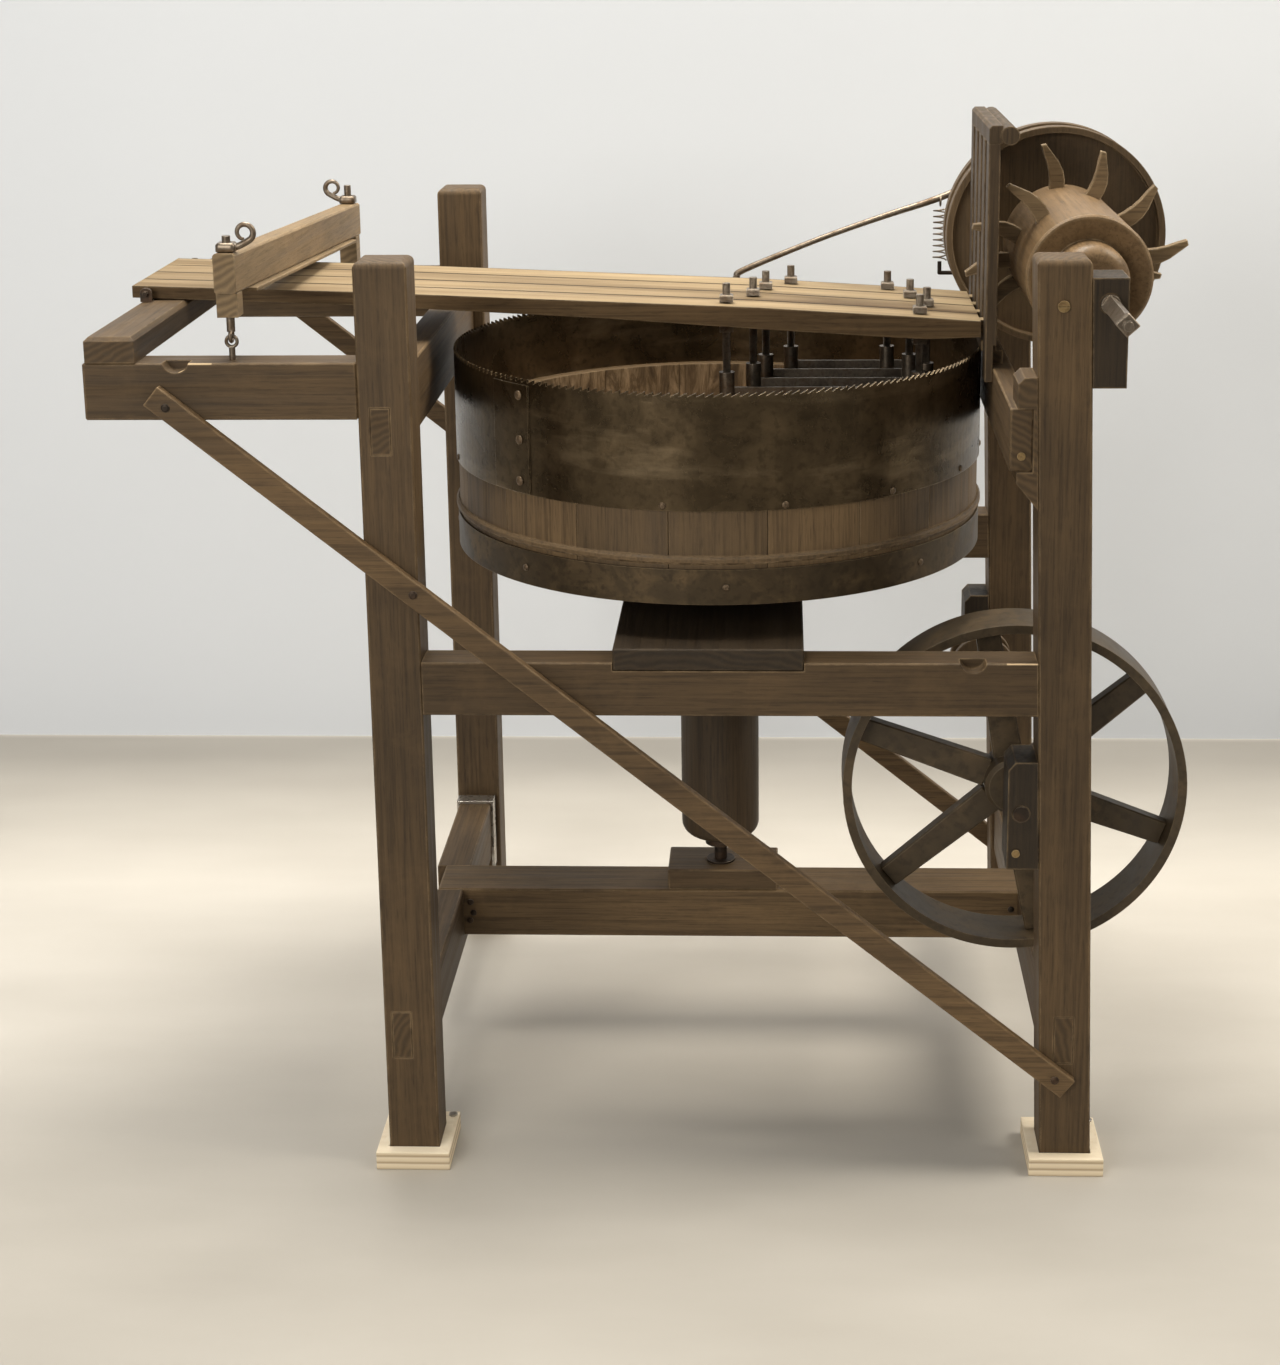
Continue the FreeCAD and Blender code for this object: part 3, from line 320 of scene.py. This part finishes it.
def metal(name, base=(0.05, 0.038, 0.028), rust=(0.13, 0.075, 0.04), bright=(0.35, 0.28, 0.2), metallic=0.75, rough=(0.38, 0.62),
          wear=0.7, scale=1.0, streak=None, bumpd=0.0006, threads=None, radius=0.0012, spots=0.6):
    m = Mat(name)
    c1 = m.coords((22 * scale,) * 3, (0, 0, 0), 0)
    n1 = m.noise(c1, 1.0, 7.0, 0.62, 0.4)
    c2 = m.coords((130 * scale,) * 3, (0, 0, 0), 0)
    n2 = m.noise(c2, 1.0, 5.0, 0.6)
    col = m.ramp(n1, [(0.32, m_color(base, 0.7)), (0.5, base), (0.66, rust), (0.82, m_color(rust, 1.35))])
    col = m.mix((col, 0), m_color(base, 0.5), m.math("MULTIPLY", (m.ramp(n2, [(0.36, 1.0), (0.5, 0.0)]), 0), spots))
    rg = m.ramp(n1, [(0.3, rough[0]), (0.75, rough[1])])
    if streak:
        n3 = m.noise(m.coords(streak, (0, 0, 0), 0), 1.0, 5.0, 0.6, 0.2)
        col = m.mix(col, bright, m.math("MULTIPLY", (m.ramp(n3, [(0.55, 0.0), (0.75, 1.0)]), 0), 0.4))
    ed = m.edge(radius)
    wm = m.math("MULTIPLY", ed, m.math("MULTIPLY", (m.ramp(n2, [(0.3, 0.2), (0.6, 1.0)]), 0), wear), clamp=True)
    col = m.mix(col, bright, wm)
    h = m.math("ADD", (n1, 0), m.math("MULTIPLY", (n2, 0), 0.5))
    bv = m.n("ShaderNodeBevel")
    bv.samples = 4
    bv.inputs["Radius"].default_value = radius * 0.7
    nor = m.bump(h, bumpd, 0.5, (bv, 0))
    if threads:
        wv = m.n("ShaderNodeTexWave", wave_type="BANDS", bands_direction="Z", wave_profile="SIN")
        m.l(m.coords((1, 1, 1), (0, 0, 0), 0), 0, wv, "Vector")
        wv.inputs["Scale"].default_value = threads
        sp = m.n("ShaderNodeSeparateXYZ")
        m.l(m.tc, "Normal", sp, 0)
        side = m.math("LESS_THAN", m.math("ABSOLUTE", (sp, 2)), 0.3)
        z = m.n("ShaderNodeSeparateXYZ")
        m.l(m.tc, "Object", z, 0)
        hi = m.math("GREATER_THAN", (z, 2), 0.778)
        nor = m.bump(m.math("MULTIPLY", m.math("MULTIPLY", (wv, 0), side), hi), 0.0007, 0.7, nor)
    m.set(color=col, rough=(rg, 0), metal=metallic, normal=nor)
    return m.m


D, MI, LI, WO = (0.034, 0.0195, 0.0085), (0.088, 0.054, 0.0245), (0.17, 0.109, 0.053), (0.36, 0.25, 0.135)
# painted highlights: centres and radii of the pale spots in the notches of the lever arm and the mid rail
NOTCH_HIGHLIGHT_SPOTS = [(*L(-505, 0, 834), 0.018), (*L(285, 0, 538), 0.018)]
wood_x = wood("aged_wood_along_x", "X", D, MI, LI, WO, notch_highlights=NOTCH_HIGHLIGHT_SPOTS)
wood_y = wood("aged_wood_along_y", "Y", D, MI, LI, WO)
wood_z = wood("aged_wood_upright", "Z", D, MI, LI, WO)
ang = math.atan2(710.5, 881.0)
wood_brace = wood("aged_wood_brace", "X", m_color(D, 1.3), m_color(MI, 1.4), m_color(LI, 1.35), WO, tilt=ang)
wood_lever = wood("lever_wood", "X", D, (0.095, 0.059, 0.028), (0.19, 0.125, 0.062), (0.42, 0.32, 0.19), topworn=0.78, wear=0.4, spec=0.2, rough=(0.6, 0.8), gap_shade=((210.0 - OY) / 1000, 0.048, 0.0022))
wood_bar = wood("bar_wood", "Y", (0.1, 0.064, 0.031), (0.22, 0.15, 0.079), (0.33, 0.235, 0.135), (0.48, 0.37, 0.23), wear=0.6, contrast=0.6)
wood_comb = wood("comb_wood", "Z", (0.022, 0.013, 0.006), (0.055, 0.034, 0.016), (0.10, 0.064, 0.031), (0.34, 0.24, 0.135), wear=0.75)
wood_bear = wood("bearing_wood", "Z", (0.012, 0.0075, 0.0036), (0.027, 0.017, 0.0082), (0.055, 0.036, 0.018), WO)
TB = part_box("tub_staves")
TUB_AXIS = ((TB[0][0] + TB[1][0]) / 2, (TB[0][1] + TB[1][1]) / 2)
wood_tub = wood("tub_wood", "Z", (0.05, 0.03, 0.0145), (0.118, 0.075, 0.036), (0.19, 0.125, 0.063), WO, wear=0.6, inner=TUB_AXIS, boards=True)
# painted light: the stretcher gets a copy of the frame wood about 1.5 times lighter, standing in for light that
# reaches it under the tub
wood_painted_light_stretcher = wood("stretcher_wood_painted_lighter", "X", (0.05, 0.029, 0.013), (0.135, 0.085, 0.039), (0.26, 0.17, 0.085), WO)
# painted shade: a much darker copy of the frame wood for the bearing board and the tub cross arms, standing in for
# the shade under the tub
wood_painted_shade = wood("board_wood_painted_dark", "Y", (0.015, 0.009, 0.0045), (0.034, 0.0215, 0.0105), (0.066, 0.043, 0.0215), (0.2, 0.14, 0.075), wear=0.5)
wood_floor = wood("tub_floor_wood", "X", D, MI, LI, WO)
wood_spin = wood("spindle_wood", "Z", (0.018, 0.011, 0.0055), (0.045, 0.028, 0.0135), (0.09, 0.058, 0.028), WO, rough=(0.4, 0.6))
wood_drum = wood("drum_wood", "Y", (0.058, 0.035, 0.0165), (0.155, 0.097, 0.047), (0.28, 0.184, 0.094), (0.46, 0.34, 0.2), rough=(0.36, 0.56), endgrain=False, contrast=0.6, figure=0.4)
wood_peg = wood("peg_wood", "X", (0.055, 0.034, 0.016), (0.15, 0.1, 0.05), (0.27, 0.19, 0.1), (0.5, 0.38, 0.235), wear=1.0, figure=0.4, endgrain=False)
wood_pul = wood("pulley_wood", "Z", (0.042, 0.026, 0.0125), (0.115, 0.073, 0.035), (0.2, 0.13, 0.065), (0.34, 0.24, 0.14), rough=(0.42, 0.62), endgrain=False, contrast=0.6, figure=0.4)

iron_dark = metal("dark_iron", (0.035, 0.026, 0.02), (0.085, 0.05, 0.03), (0.3, 0.24, 0.18))
iron_band = metal("band_iron", (0.085, 0.061, 0.035), (0.12, 0.086, 0.049), (0.34, 0.26, 0.165), metallic=0.9, rough=(0.22, 0.4), scale=0.9, streak=(7, 7, 30), bumpd=0.0010, spots=0.5)
iron_hoop = metal("hoop_iron", (0.06, 0.041, 0.021), (0.12, 0.08, 0.04), (0.32, 0.24, 0.15), metallic=0.6, rough=(0.4, 0.62), scale=0.9)
iron_rivet = metal("rivet_iron", (0.12, 0.082, 0.05), (0.2, 0.135, 0.08), (0.45, 0.36, 0.26), metallic=0.7, scale=3)
iron_wheel = metal("wheel_iron", (0.06, 0.041, 0.021), (0.098, 0.066, 0.034), (0.28, 0.21, 0.13), metallic=0.2, rough=(0.42, 0.66), scale=0.8)
steel_worn = metal("worn_steel", (0.22, 0.18, 0.14), (0.12, 0.08, 0.05), (0.62, 0.55, 0.46), metallic=0.85, rough=(0.28, 0.5), scale=2.5)
steel_knife = metal("knife_steel", (0.20, 0.165, 0.13), (0.11, 0.075, 0.048), (0.6, 0.53, 0.44), metallic=0.85, rough=(0.28, 0.5), scale=2.5, threads=780.0)
steel_bright = metal("bright_steel", (0.5, 0.47, 0.43), (0.42, 0.37, 0.31), (0.8, 0.78, 0.74), metallic=0.9, rough=(0.22, 0.38), scale=2.0, spots=0.2)
brass = metal("dull_brass", (0.33, 0.23, 0.11), (0.22, 0.14, 0.07), (0.6, 0.46, 0.26), metallic=0.85, rough=(0.35, 0.5), scale=3)


def plywood(name):
    m = Mat(name)
    wv = m.n("ShaderNodeTexWave", wave_type="BANDS", bands_direction="Z", wave_profile="SAW")
    m.l(m.coords((1, 1, 1), (0, 0, 0), 0), 0, wv, "Vector")
    wv.inputs["Scale"].default_value = 42.0
    wv.inputs["Distortion"].default_value = 0.6
    wv.inputs["Detail Scale"].default_value = 0.4
    plies = m.ramp(wv, [(0.0, (0.44, 0.33, 0.21)), (0.3, (0.76, 0.64, 0.46)), (0.75, (0.84, 0.73, 0.55)), (1.0, (0.46, 0.35, 0.23))])
    top = m.noise(m.coords((5, 60, 20), (0, 0, 0)), 1.0, 5.0, 0.6, 0.6)
    face = m.ramp(top, [(0.3, (0.74, 0.63, 0.46)), (0.55, (0.84, 0.74, 0.58)), (0.8, (0.88, 0.8, 0.66))])
    sp = m.n("ShaderNodeSeparateXYZ")
    m.l(m.tc, "Normal", sp, 0)
    up = m.math("GREATER_THAN", m.math("ABSOLUTE", (sp, 2)), 0.7)
    col = m.mix((plies, 0), (face, 0), up)
    h = m.math("ADD", m.math("MULTIPLY", (wv, 0), 0.5), (top, 0))
    rr = m.ramp(top, [(0.3, 0.6), (0.8, 0.8)])
    m.set(color=col, rough=(rr, 0), normal=m.bump(h, 0.0008, 0.5), spec=0.3)
    return m.m


def chopped(name):
    """end grain cut about by the knives"""
    m = Mat(name)
    v = m.n("ShaderNodeTexVoronoi", feature="DISTANCE_TO_EDGE")
    m.l(m.coords((170, 48, 90), (0, 0, 0.2)), 0, v, "Vector")
    v.inputs["Scale"].default_value = 1.0
    cuts = m.ramp(v, [(0.02, 0.0), (0.14, 1.0)], "Distance")
    n1 = m.noise(m.coords((26, 26, 26), (0, 0, 0)), 1.0, 6.0, 0.65)
    base = m.ramp(n1, [(0.3, (0.16, 0.10, 0.055)), (0.5, (0.30, 0.205, 0.12)), (0.75, (0.5, 0.38, 0.25))])
    col = m.mix((base, 0), (0.06, 0.035, 0.02), m.math("MULTIPLY", m.math("SUBTRACT", 1.0, (cuts, 0)), 0.6))
    h = m.math("ADD", (cuts, 0), (n1, 0))
    rr = m.ramp(n1, [(0.3, 0.65), (0.8, 0.85)])
    m.set(color=col, rough=(rr, 0), normal=m.bump(h, 0.003, 0.8), spec=0.25)
    return m.m


ply = plywood("plywood")
chop = chopped("chopped_end_grain")

MATS = {
    "left_posts": wood_z, "right_posts": wood_z, "mid_rails": wood_x, "lever_arms": wood_x, "arm_crossbeam": wood_y, "upper_side_rail": wood_y,
    "lower_side_rails": wood_y, "lower_stretcher": wood_painted_light_stretcher, "thrust_block": wood_x, "bearing_board": wood_painted_shade, "diagonal_braces": wood_brace, "comb_beam": wood_y,
    "comb": wood_comb, "bearing_blocks": wood_bear, "hold_bar": wood_bar,
    "lever_1": wood_lever, "lever_2": wood_lever, "lever_3": wood_lever, "lever_4": wood_lever,
    "foot_sockets": ply, "socket_screws": steel_bright, "lever_pivot": iron_dark, "frame_nails": iron_dark, "frame_screws": brass, "pivot_cup": iron_dark,
    "rail_stirrup": steel_bright, "bar_bolts": steel_worn, "curl_nuts": steel_worn, "tub_staves": wood_tub, "tub_floor": wood_floor, "chopping_block": chop,
    "tub_cross_arms": wood_painted_shade, "spindle": wood_spin, "spindle_pivot": iron_dark, "tub_hoop": iron_hoop, "ratchet_band": iron_band, "band_rivets": iron_rivet,
    "drum": wood_drum, "drum_pegs": wood_peg, "drive_pulley": wood_pul, "drum_shaft": steel_worn, "flywheel_rim": iron_wheel, "flywheel_spokes": iron_wheel,
    "flywheel_shaft": iron_dark, "small_pulley": wood_pul, "pawl": steel_worn, "pawl_bracket": iron_dark, "pawl_spring": steel_worn, "spring_hook": iron_dark,
    "knife_1": steel_knife, "knife_2": steel_knife, "knife_3": steel_knife, "knife_4": steel_knife,
}
for name, ob in N.items():
    mt = MATS[name]
    if len(ob.material_slots) == 0:
        ob.data.materials.append(mt)
    for s in ob.material_slots:
        s.material = mt

# ------------------------------------------------------------------ reshaped pieces
def obj_from(name, bm, mat, slot_name, body, *nodes, smooth=True):
    me = bpy.data.meshes.new(name)
    bmesh.ops.recalc_face_normals(bm, faces=bm.faces[:])
    bm.to_mesh(me)
    bm.free()
    if smooth:
        for p in me.polygons:
            p.use_smooth = True
    ob = bpy.data.objects.new(name, me)
    bpy.context.scene.collection.objects.link(ob)
    ob.data.materials.append(mat)
    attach(ob, body)
    if nodes:
        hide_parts(*nodes)
    return ob


def tube(bm, pts, radii, seg=20, cap=True):
    """a round bar along smooth points, closed at both ends"""
    rings = []
    n = len(pts)
    up = Vector((0.0, 1.0, 0.0))
    for i in range(n):
        t = (pts[min(i + 1, n - 1)] - pts[max(i - 1, 0)]).normalized()
        s_ = t.cross(up)
        if s_.length < 0.2:
            s_ = t.cross(Vector((1.0, 0.0, 0.0)))
        s_.normalize()
        u_ = s_.cross(t).normalized()
        r = radii[i] if isinstance(radii, (list, tuple)) else radii
        rings.append([bm.verts.new(pts[i] + s_ * r * math.cos(2 * math.pi * k / seg) + u_ * r * math.sin(2 * math.pi * k / seg)) for k in range(seg)])
    for a_, b_ in zip(rings[:-1], rings[1:]):
        for k in range(seg):
            bm.faces.new((a_[k], a_[(k + 1) % seg], b_[(k + 1) % seg], b_[k]))
    if cap:
        bm.faces.new(rings[0][::-1])
        bm.faces.new(rings[-1])
    return rings


def spline(ctrl, n):
    """smooth curve through the control points"""
    out = []
    c = [ctrl[0] * 2 - ctrl[1]] + list(ctrl) + [ctrl[-1] * 2 - ctrl[-2]]
    for i in range(len(ctrl) - 1):
        p0, p1, p2, p3 = c[i:i + 4]
        for k in range(n):
            t = k / n
            out.append(0.5 * ((2 * p1) + (p2 - p0) * t + (2 * p0 - 5 * p1 + 4 * p2 - p3) * t * t + (3 * p1 - p0 - 3 * p2 + p3) * t ** 3))
    out.append(Vector(ctrl[-1]))
    return out


NUTS = ((*L(-471.18, 20, 0)[:2], 0.93636), (*L(-458.35, 580.7, 0)[:2], 0.91070))
# the pawl: one forged bar, thickened at its hanging eye, flattened towards its biting tip
bm = bmesh.new()
path = spline([L(316.2, 583, 948.9), L(310, 583, 946.6), L(276, 583, 932), L(232, 583, 913), L(172, 583, 893.5), L(110, 583, 872), L(56, 583, 851), L(4, 583, 829), L(-2, 583, 822), L(-7, 583, 808), L(-8, 583, 801.5)], 7)
rr_ = []
for i, p in enumerate(path):
    t = i / (len(path) - 1)
    r = 0.0038 + 0.0004 * math.sin(9.0 * t) + (0.0012 if t < 0.05 else 0.0)
    if t > 0.9:
        r *= 1.0 - 0.45 * (t - 0.9) / 0.1
    rr_.append(r)
tube(bm, path, rr_, 18)


def hoop(bm, centre, ax1, ax2, R, r, n=36, m=14):
    """a closed round ring in the plane of ax1 and ax2"""
    nrm = ax1.cross(ax2)
    rows = []
    for i in range(n):
        a_ = 2 * math.pi * i / n
        d = ax1 * math.cos(a_) + ax2 * math.sin(a_)
        rows.append([bm.verts.new(centre + d * (R + r * math.cos(2 * math.pi * k / m)) + nrm * r * math.sin(2 * math.pi * k / m)) for k in range(m)])
    for i in range(n):
        a_, b_ = rows[i], rows[(i + 1) % n]
        for k in range(m):
            bm.faces.new((a_[k], a_[(k + 1) % m], b_[(k + 1) % m], b_[k]))


EX, EY, EZ = Vector((1, 0, 0)), Vector((0, 1, 0)), Vector((0, 0, 1))
hoop(bm, L(322, 583, 951), EX, EZ, 0.0064, 0.0029)
hoop(bm, L(236, 583, 910.6), EY, EZ, 0.0056, 0.0011, 30, 10)
obj_from("pawl_bar", bm, steel_worn, "worn_steel", "pawl", "pawl")

# curled nuts: a square nut with a tail drawn out and rolled into a ring
for k_, (bx_, by_, top_, sd) in enumerate(((NUTS[0][0], NUTS[0][1], NUTS[0][2], 1), (NUTS[1][0], NUTS[1][1], NUTS[1][2], -1))):
    bm = bmesh.new()
    h_, w_, hole = 0.0090, 0.0090, 0.00405
    # square body with a round hole, as a ring of quads
    ns = 32
    rows = []
    for zz, shrink in ((top_ + 0.0008, 0.0012), (top_ + 0.0018, 0.0), (top_ + 0.0078, 0.0), (top_ + 0.0098, 0.0016)):
        row = []
        for q in range(ns):
            a_ = 2 * math.pi * (q + 0.5) / ns
            c_, s_ = math.cos(a_), math.sin(a_)
            f_ = (w_ - shrink) / max(abs(c_), abs(s_))
            f_ = min(f_, (w_ - shrink) * 1.30)
            row.append(bm.verts.new((bx_ + c_ * f_, by_ + s_ * f_ * 0.9, zz)))
        rows.append(row)
    inner = []
    for zz in (top_ + 0.0098, top_ + 0.0008):
        inner.append([bm.verts.new((bx_ + hole * math.cos(2 * math.pi * (q + 0.5) / ns), by_ + hole * math.sin(2 * math.pi * (q + 0.5) / ns), zz)) for q in range(ns)])
    loops = rows + inner
    for u_, v_ in zip(loops, loops[1:] + loops[:1]):
        for q in range(ns):
            bm.faces.new((u_[q], u_[(q + 1) % ns], v_[(q + 1) % ns], v_[q]))
    # the tail: leaves the side of the nut, tapers and rolls back on itself
    ctrl = [Vector((bx_ + sd * 0.0072, by_, top_ + 0.0050)), Vector((bx_ + sd * 0.0130, by_, top_ + 0.0068))]
    for q in range(13):
        a_ = math.radians(-62 + 27 * q)
        rad = 0.0085 - 0.00016 * q
        ctrl.append(Vector((bx_ + sd * (0.0178 + rad * math.cos(a_)), by_, top_ + 0.0190 + rad * math.sin(a_))))
    pts_ = spline(ctrl, 5)
    tube(bm, pts_, [0.0034 - 0.0017 * i / (len(pts_) - 1) for i in range(len(pts_))], 16)
    obj_from("curl_nut_%d" % (k_ + 1), bm, steel_worn, "worn_steel", "frame", "curl_nuts")

# ------------------------------------------------------------------ floor, backdrop, light
def stage_plane(name, verts, mat):
    me = bpy.data.meshes.new(name)
    me.from_pydata(verts, [], [tuple(range(len(verts)))])
    ob = bpy.data.objects.new(name, me)
    bpy.context.scene.collection.objects.link(ob)
    ob.data.materials.append(mat)
    return ob


fm = Mat("pale_floor")
fn = fm.noise(fm.coords((3, 9, 3), (0, 0, 0), 0), 1.0, 5.0, 0.5)
fc = fm.ramp(fn, [(0.3, (0.385, 0.365, 0.335)), (0.7, (0.425, 0.405, 0.375))])
# painted light: the floor colour is multiplied up to 1.28 times under the machine as a painted pool of light, and is
# darker towards the front and towards the backdrop
fz = fm.n("ShaderNodeSeparateXYZ")
fm.l(fm.tc, "Object", fz, 0)
floor_light_ramp = fm.ramp(fm.math("MULTIPLY", fm.math("ADD", (fz, 1), 1.0), 0.5)[0], [(0.0, 0.86), (0.35, 1.0), (0.5, 1.28), (0.72, 1.28), (0.83, 0.92), (0.95, 0.66), (0.995, 0.66), (1.0, 1.0)], 0)
fc = fm.mix((fc, 0), (floor_light_ramp, 0), 1.0, "MULTIPLY")[0], 2
fm.set(color=fc, rough=(fm.ramp(fn, [(0.3, 0.5), (0.7, 0.62)]), 0), spec=0.3)
stage_plane("floor", [(-9, -6, 0), (9, -6, 0), (9, 7.0, 0), (-9, 7.0, 0)], fm.m)
wm_ = Mat("pale_wall")
wn = wm_.noise(wm_.coords((1, 1, 1), (0, 0, 0), 0), 1.0, 3.0, 0.5)
wc = wm_.ramp(wn, [(0.3, (0.62, 0.655, 0.715)), (0.7, (0.64, 0.675, 0.735))])
# painted shade: the backdrop colour is darkened towards the top
wz = wm_.n("ShaderNodeSeparateXYZ")
wm_.l(wm_.tc, "Object", wz, 0)
wall_shade_ramp = wm_.ramp(wm_.math("MULTIPLY", (wz, 2), 0.4)[0], [(0.1, 1.0), (0.36, 0.98), (0.62, 0.85)], 0)
wm_.set(color=wm_.mix((wc, 0), (wall_shade_ramp, 0), 1.0, "MULTIPLY"), rough=0.9, spec=0.1)
see = wm_.n("ShaderNodeBsdfTransparent")
one = wm_.n("ShaderNodeMixShader")
wm_.l(wm_.geo, "Backfacing", one, 0)
wm_.l(wm_.b, "BSDF", one, 1)
wm_.l(see, "BSDF", one, 2)
wm_.l(one, "Shader", wm_.out, "Surface")
stage_plane("backdrop", [(-9, 1.0, 0), (9, 1.0, 0), (9, 1.0, 7), (-9, 1.0, 7)], wm_.m)

world = bpy.data.worlds.new("world")
bpy.context.scene.world = world
world.use_nodes = True
bg = world.node_tree.nodes["Background"]
bg.inputs["Color"].default_value = (1.0, 0.955, 0.87, 1)
bg.inputs["Strength"].default_value = 0.36


def area(name, loc, target, size, power, color=(1, 1, 1)):
    d = bpy.data.lights.new(name, "AREA")
    d.shape = "RECTANGLE"
    d.size, d.size_y = size
    d.energy = power
    d.color = color
    o = bpy.data.objects.new(name, d)
    bpy.context.scene.collection.objects.link(o)
    o.location = loc
    o.rotation_mode = "QUATERNION"
    o.rotation_quaternion = (Vector(target) - Vector(loc)).to_track_quat("-Z", "Y")
    return o


area("key_right", (2.3, -0.2, 2.9), (0.0, 0.0, 0.6), (1.2, 1.2), 80, (1.0, 0.92, 0.78))
area("top", (-0.3, 0.32, 3.3), (0.0, 0.1, 0.2), (2.2, 0.9), 132, (1.0, 0.95, 0.85))
back = area("low_back", (-0.15, 0.95, 0.56), (-0.15, 0.0, 0.56), (2.2, 0.44), 7, (1.0, 0.9, 0.74))
back.visible_camera = False
back.visible_glossy = False
area("fill_left", (-1.6, -3.4, 1.7), (0.0, 0.0, 0.5), (1.6, 1.6), 62, (1.0, 0.95, 0.86))
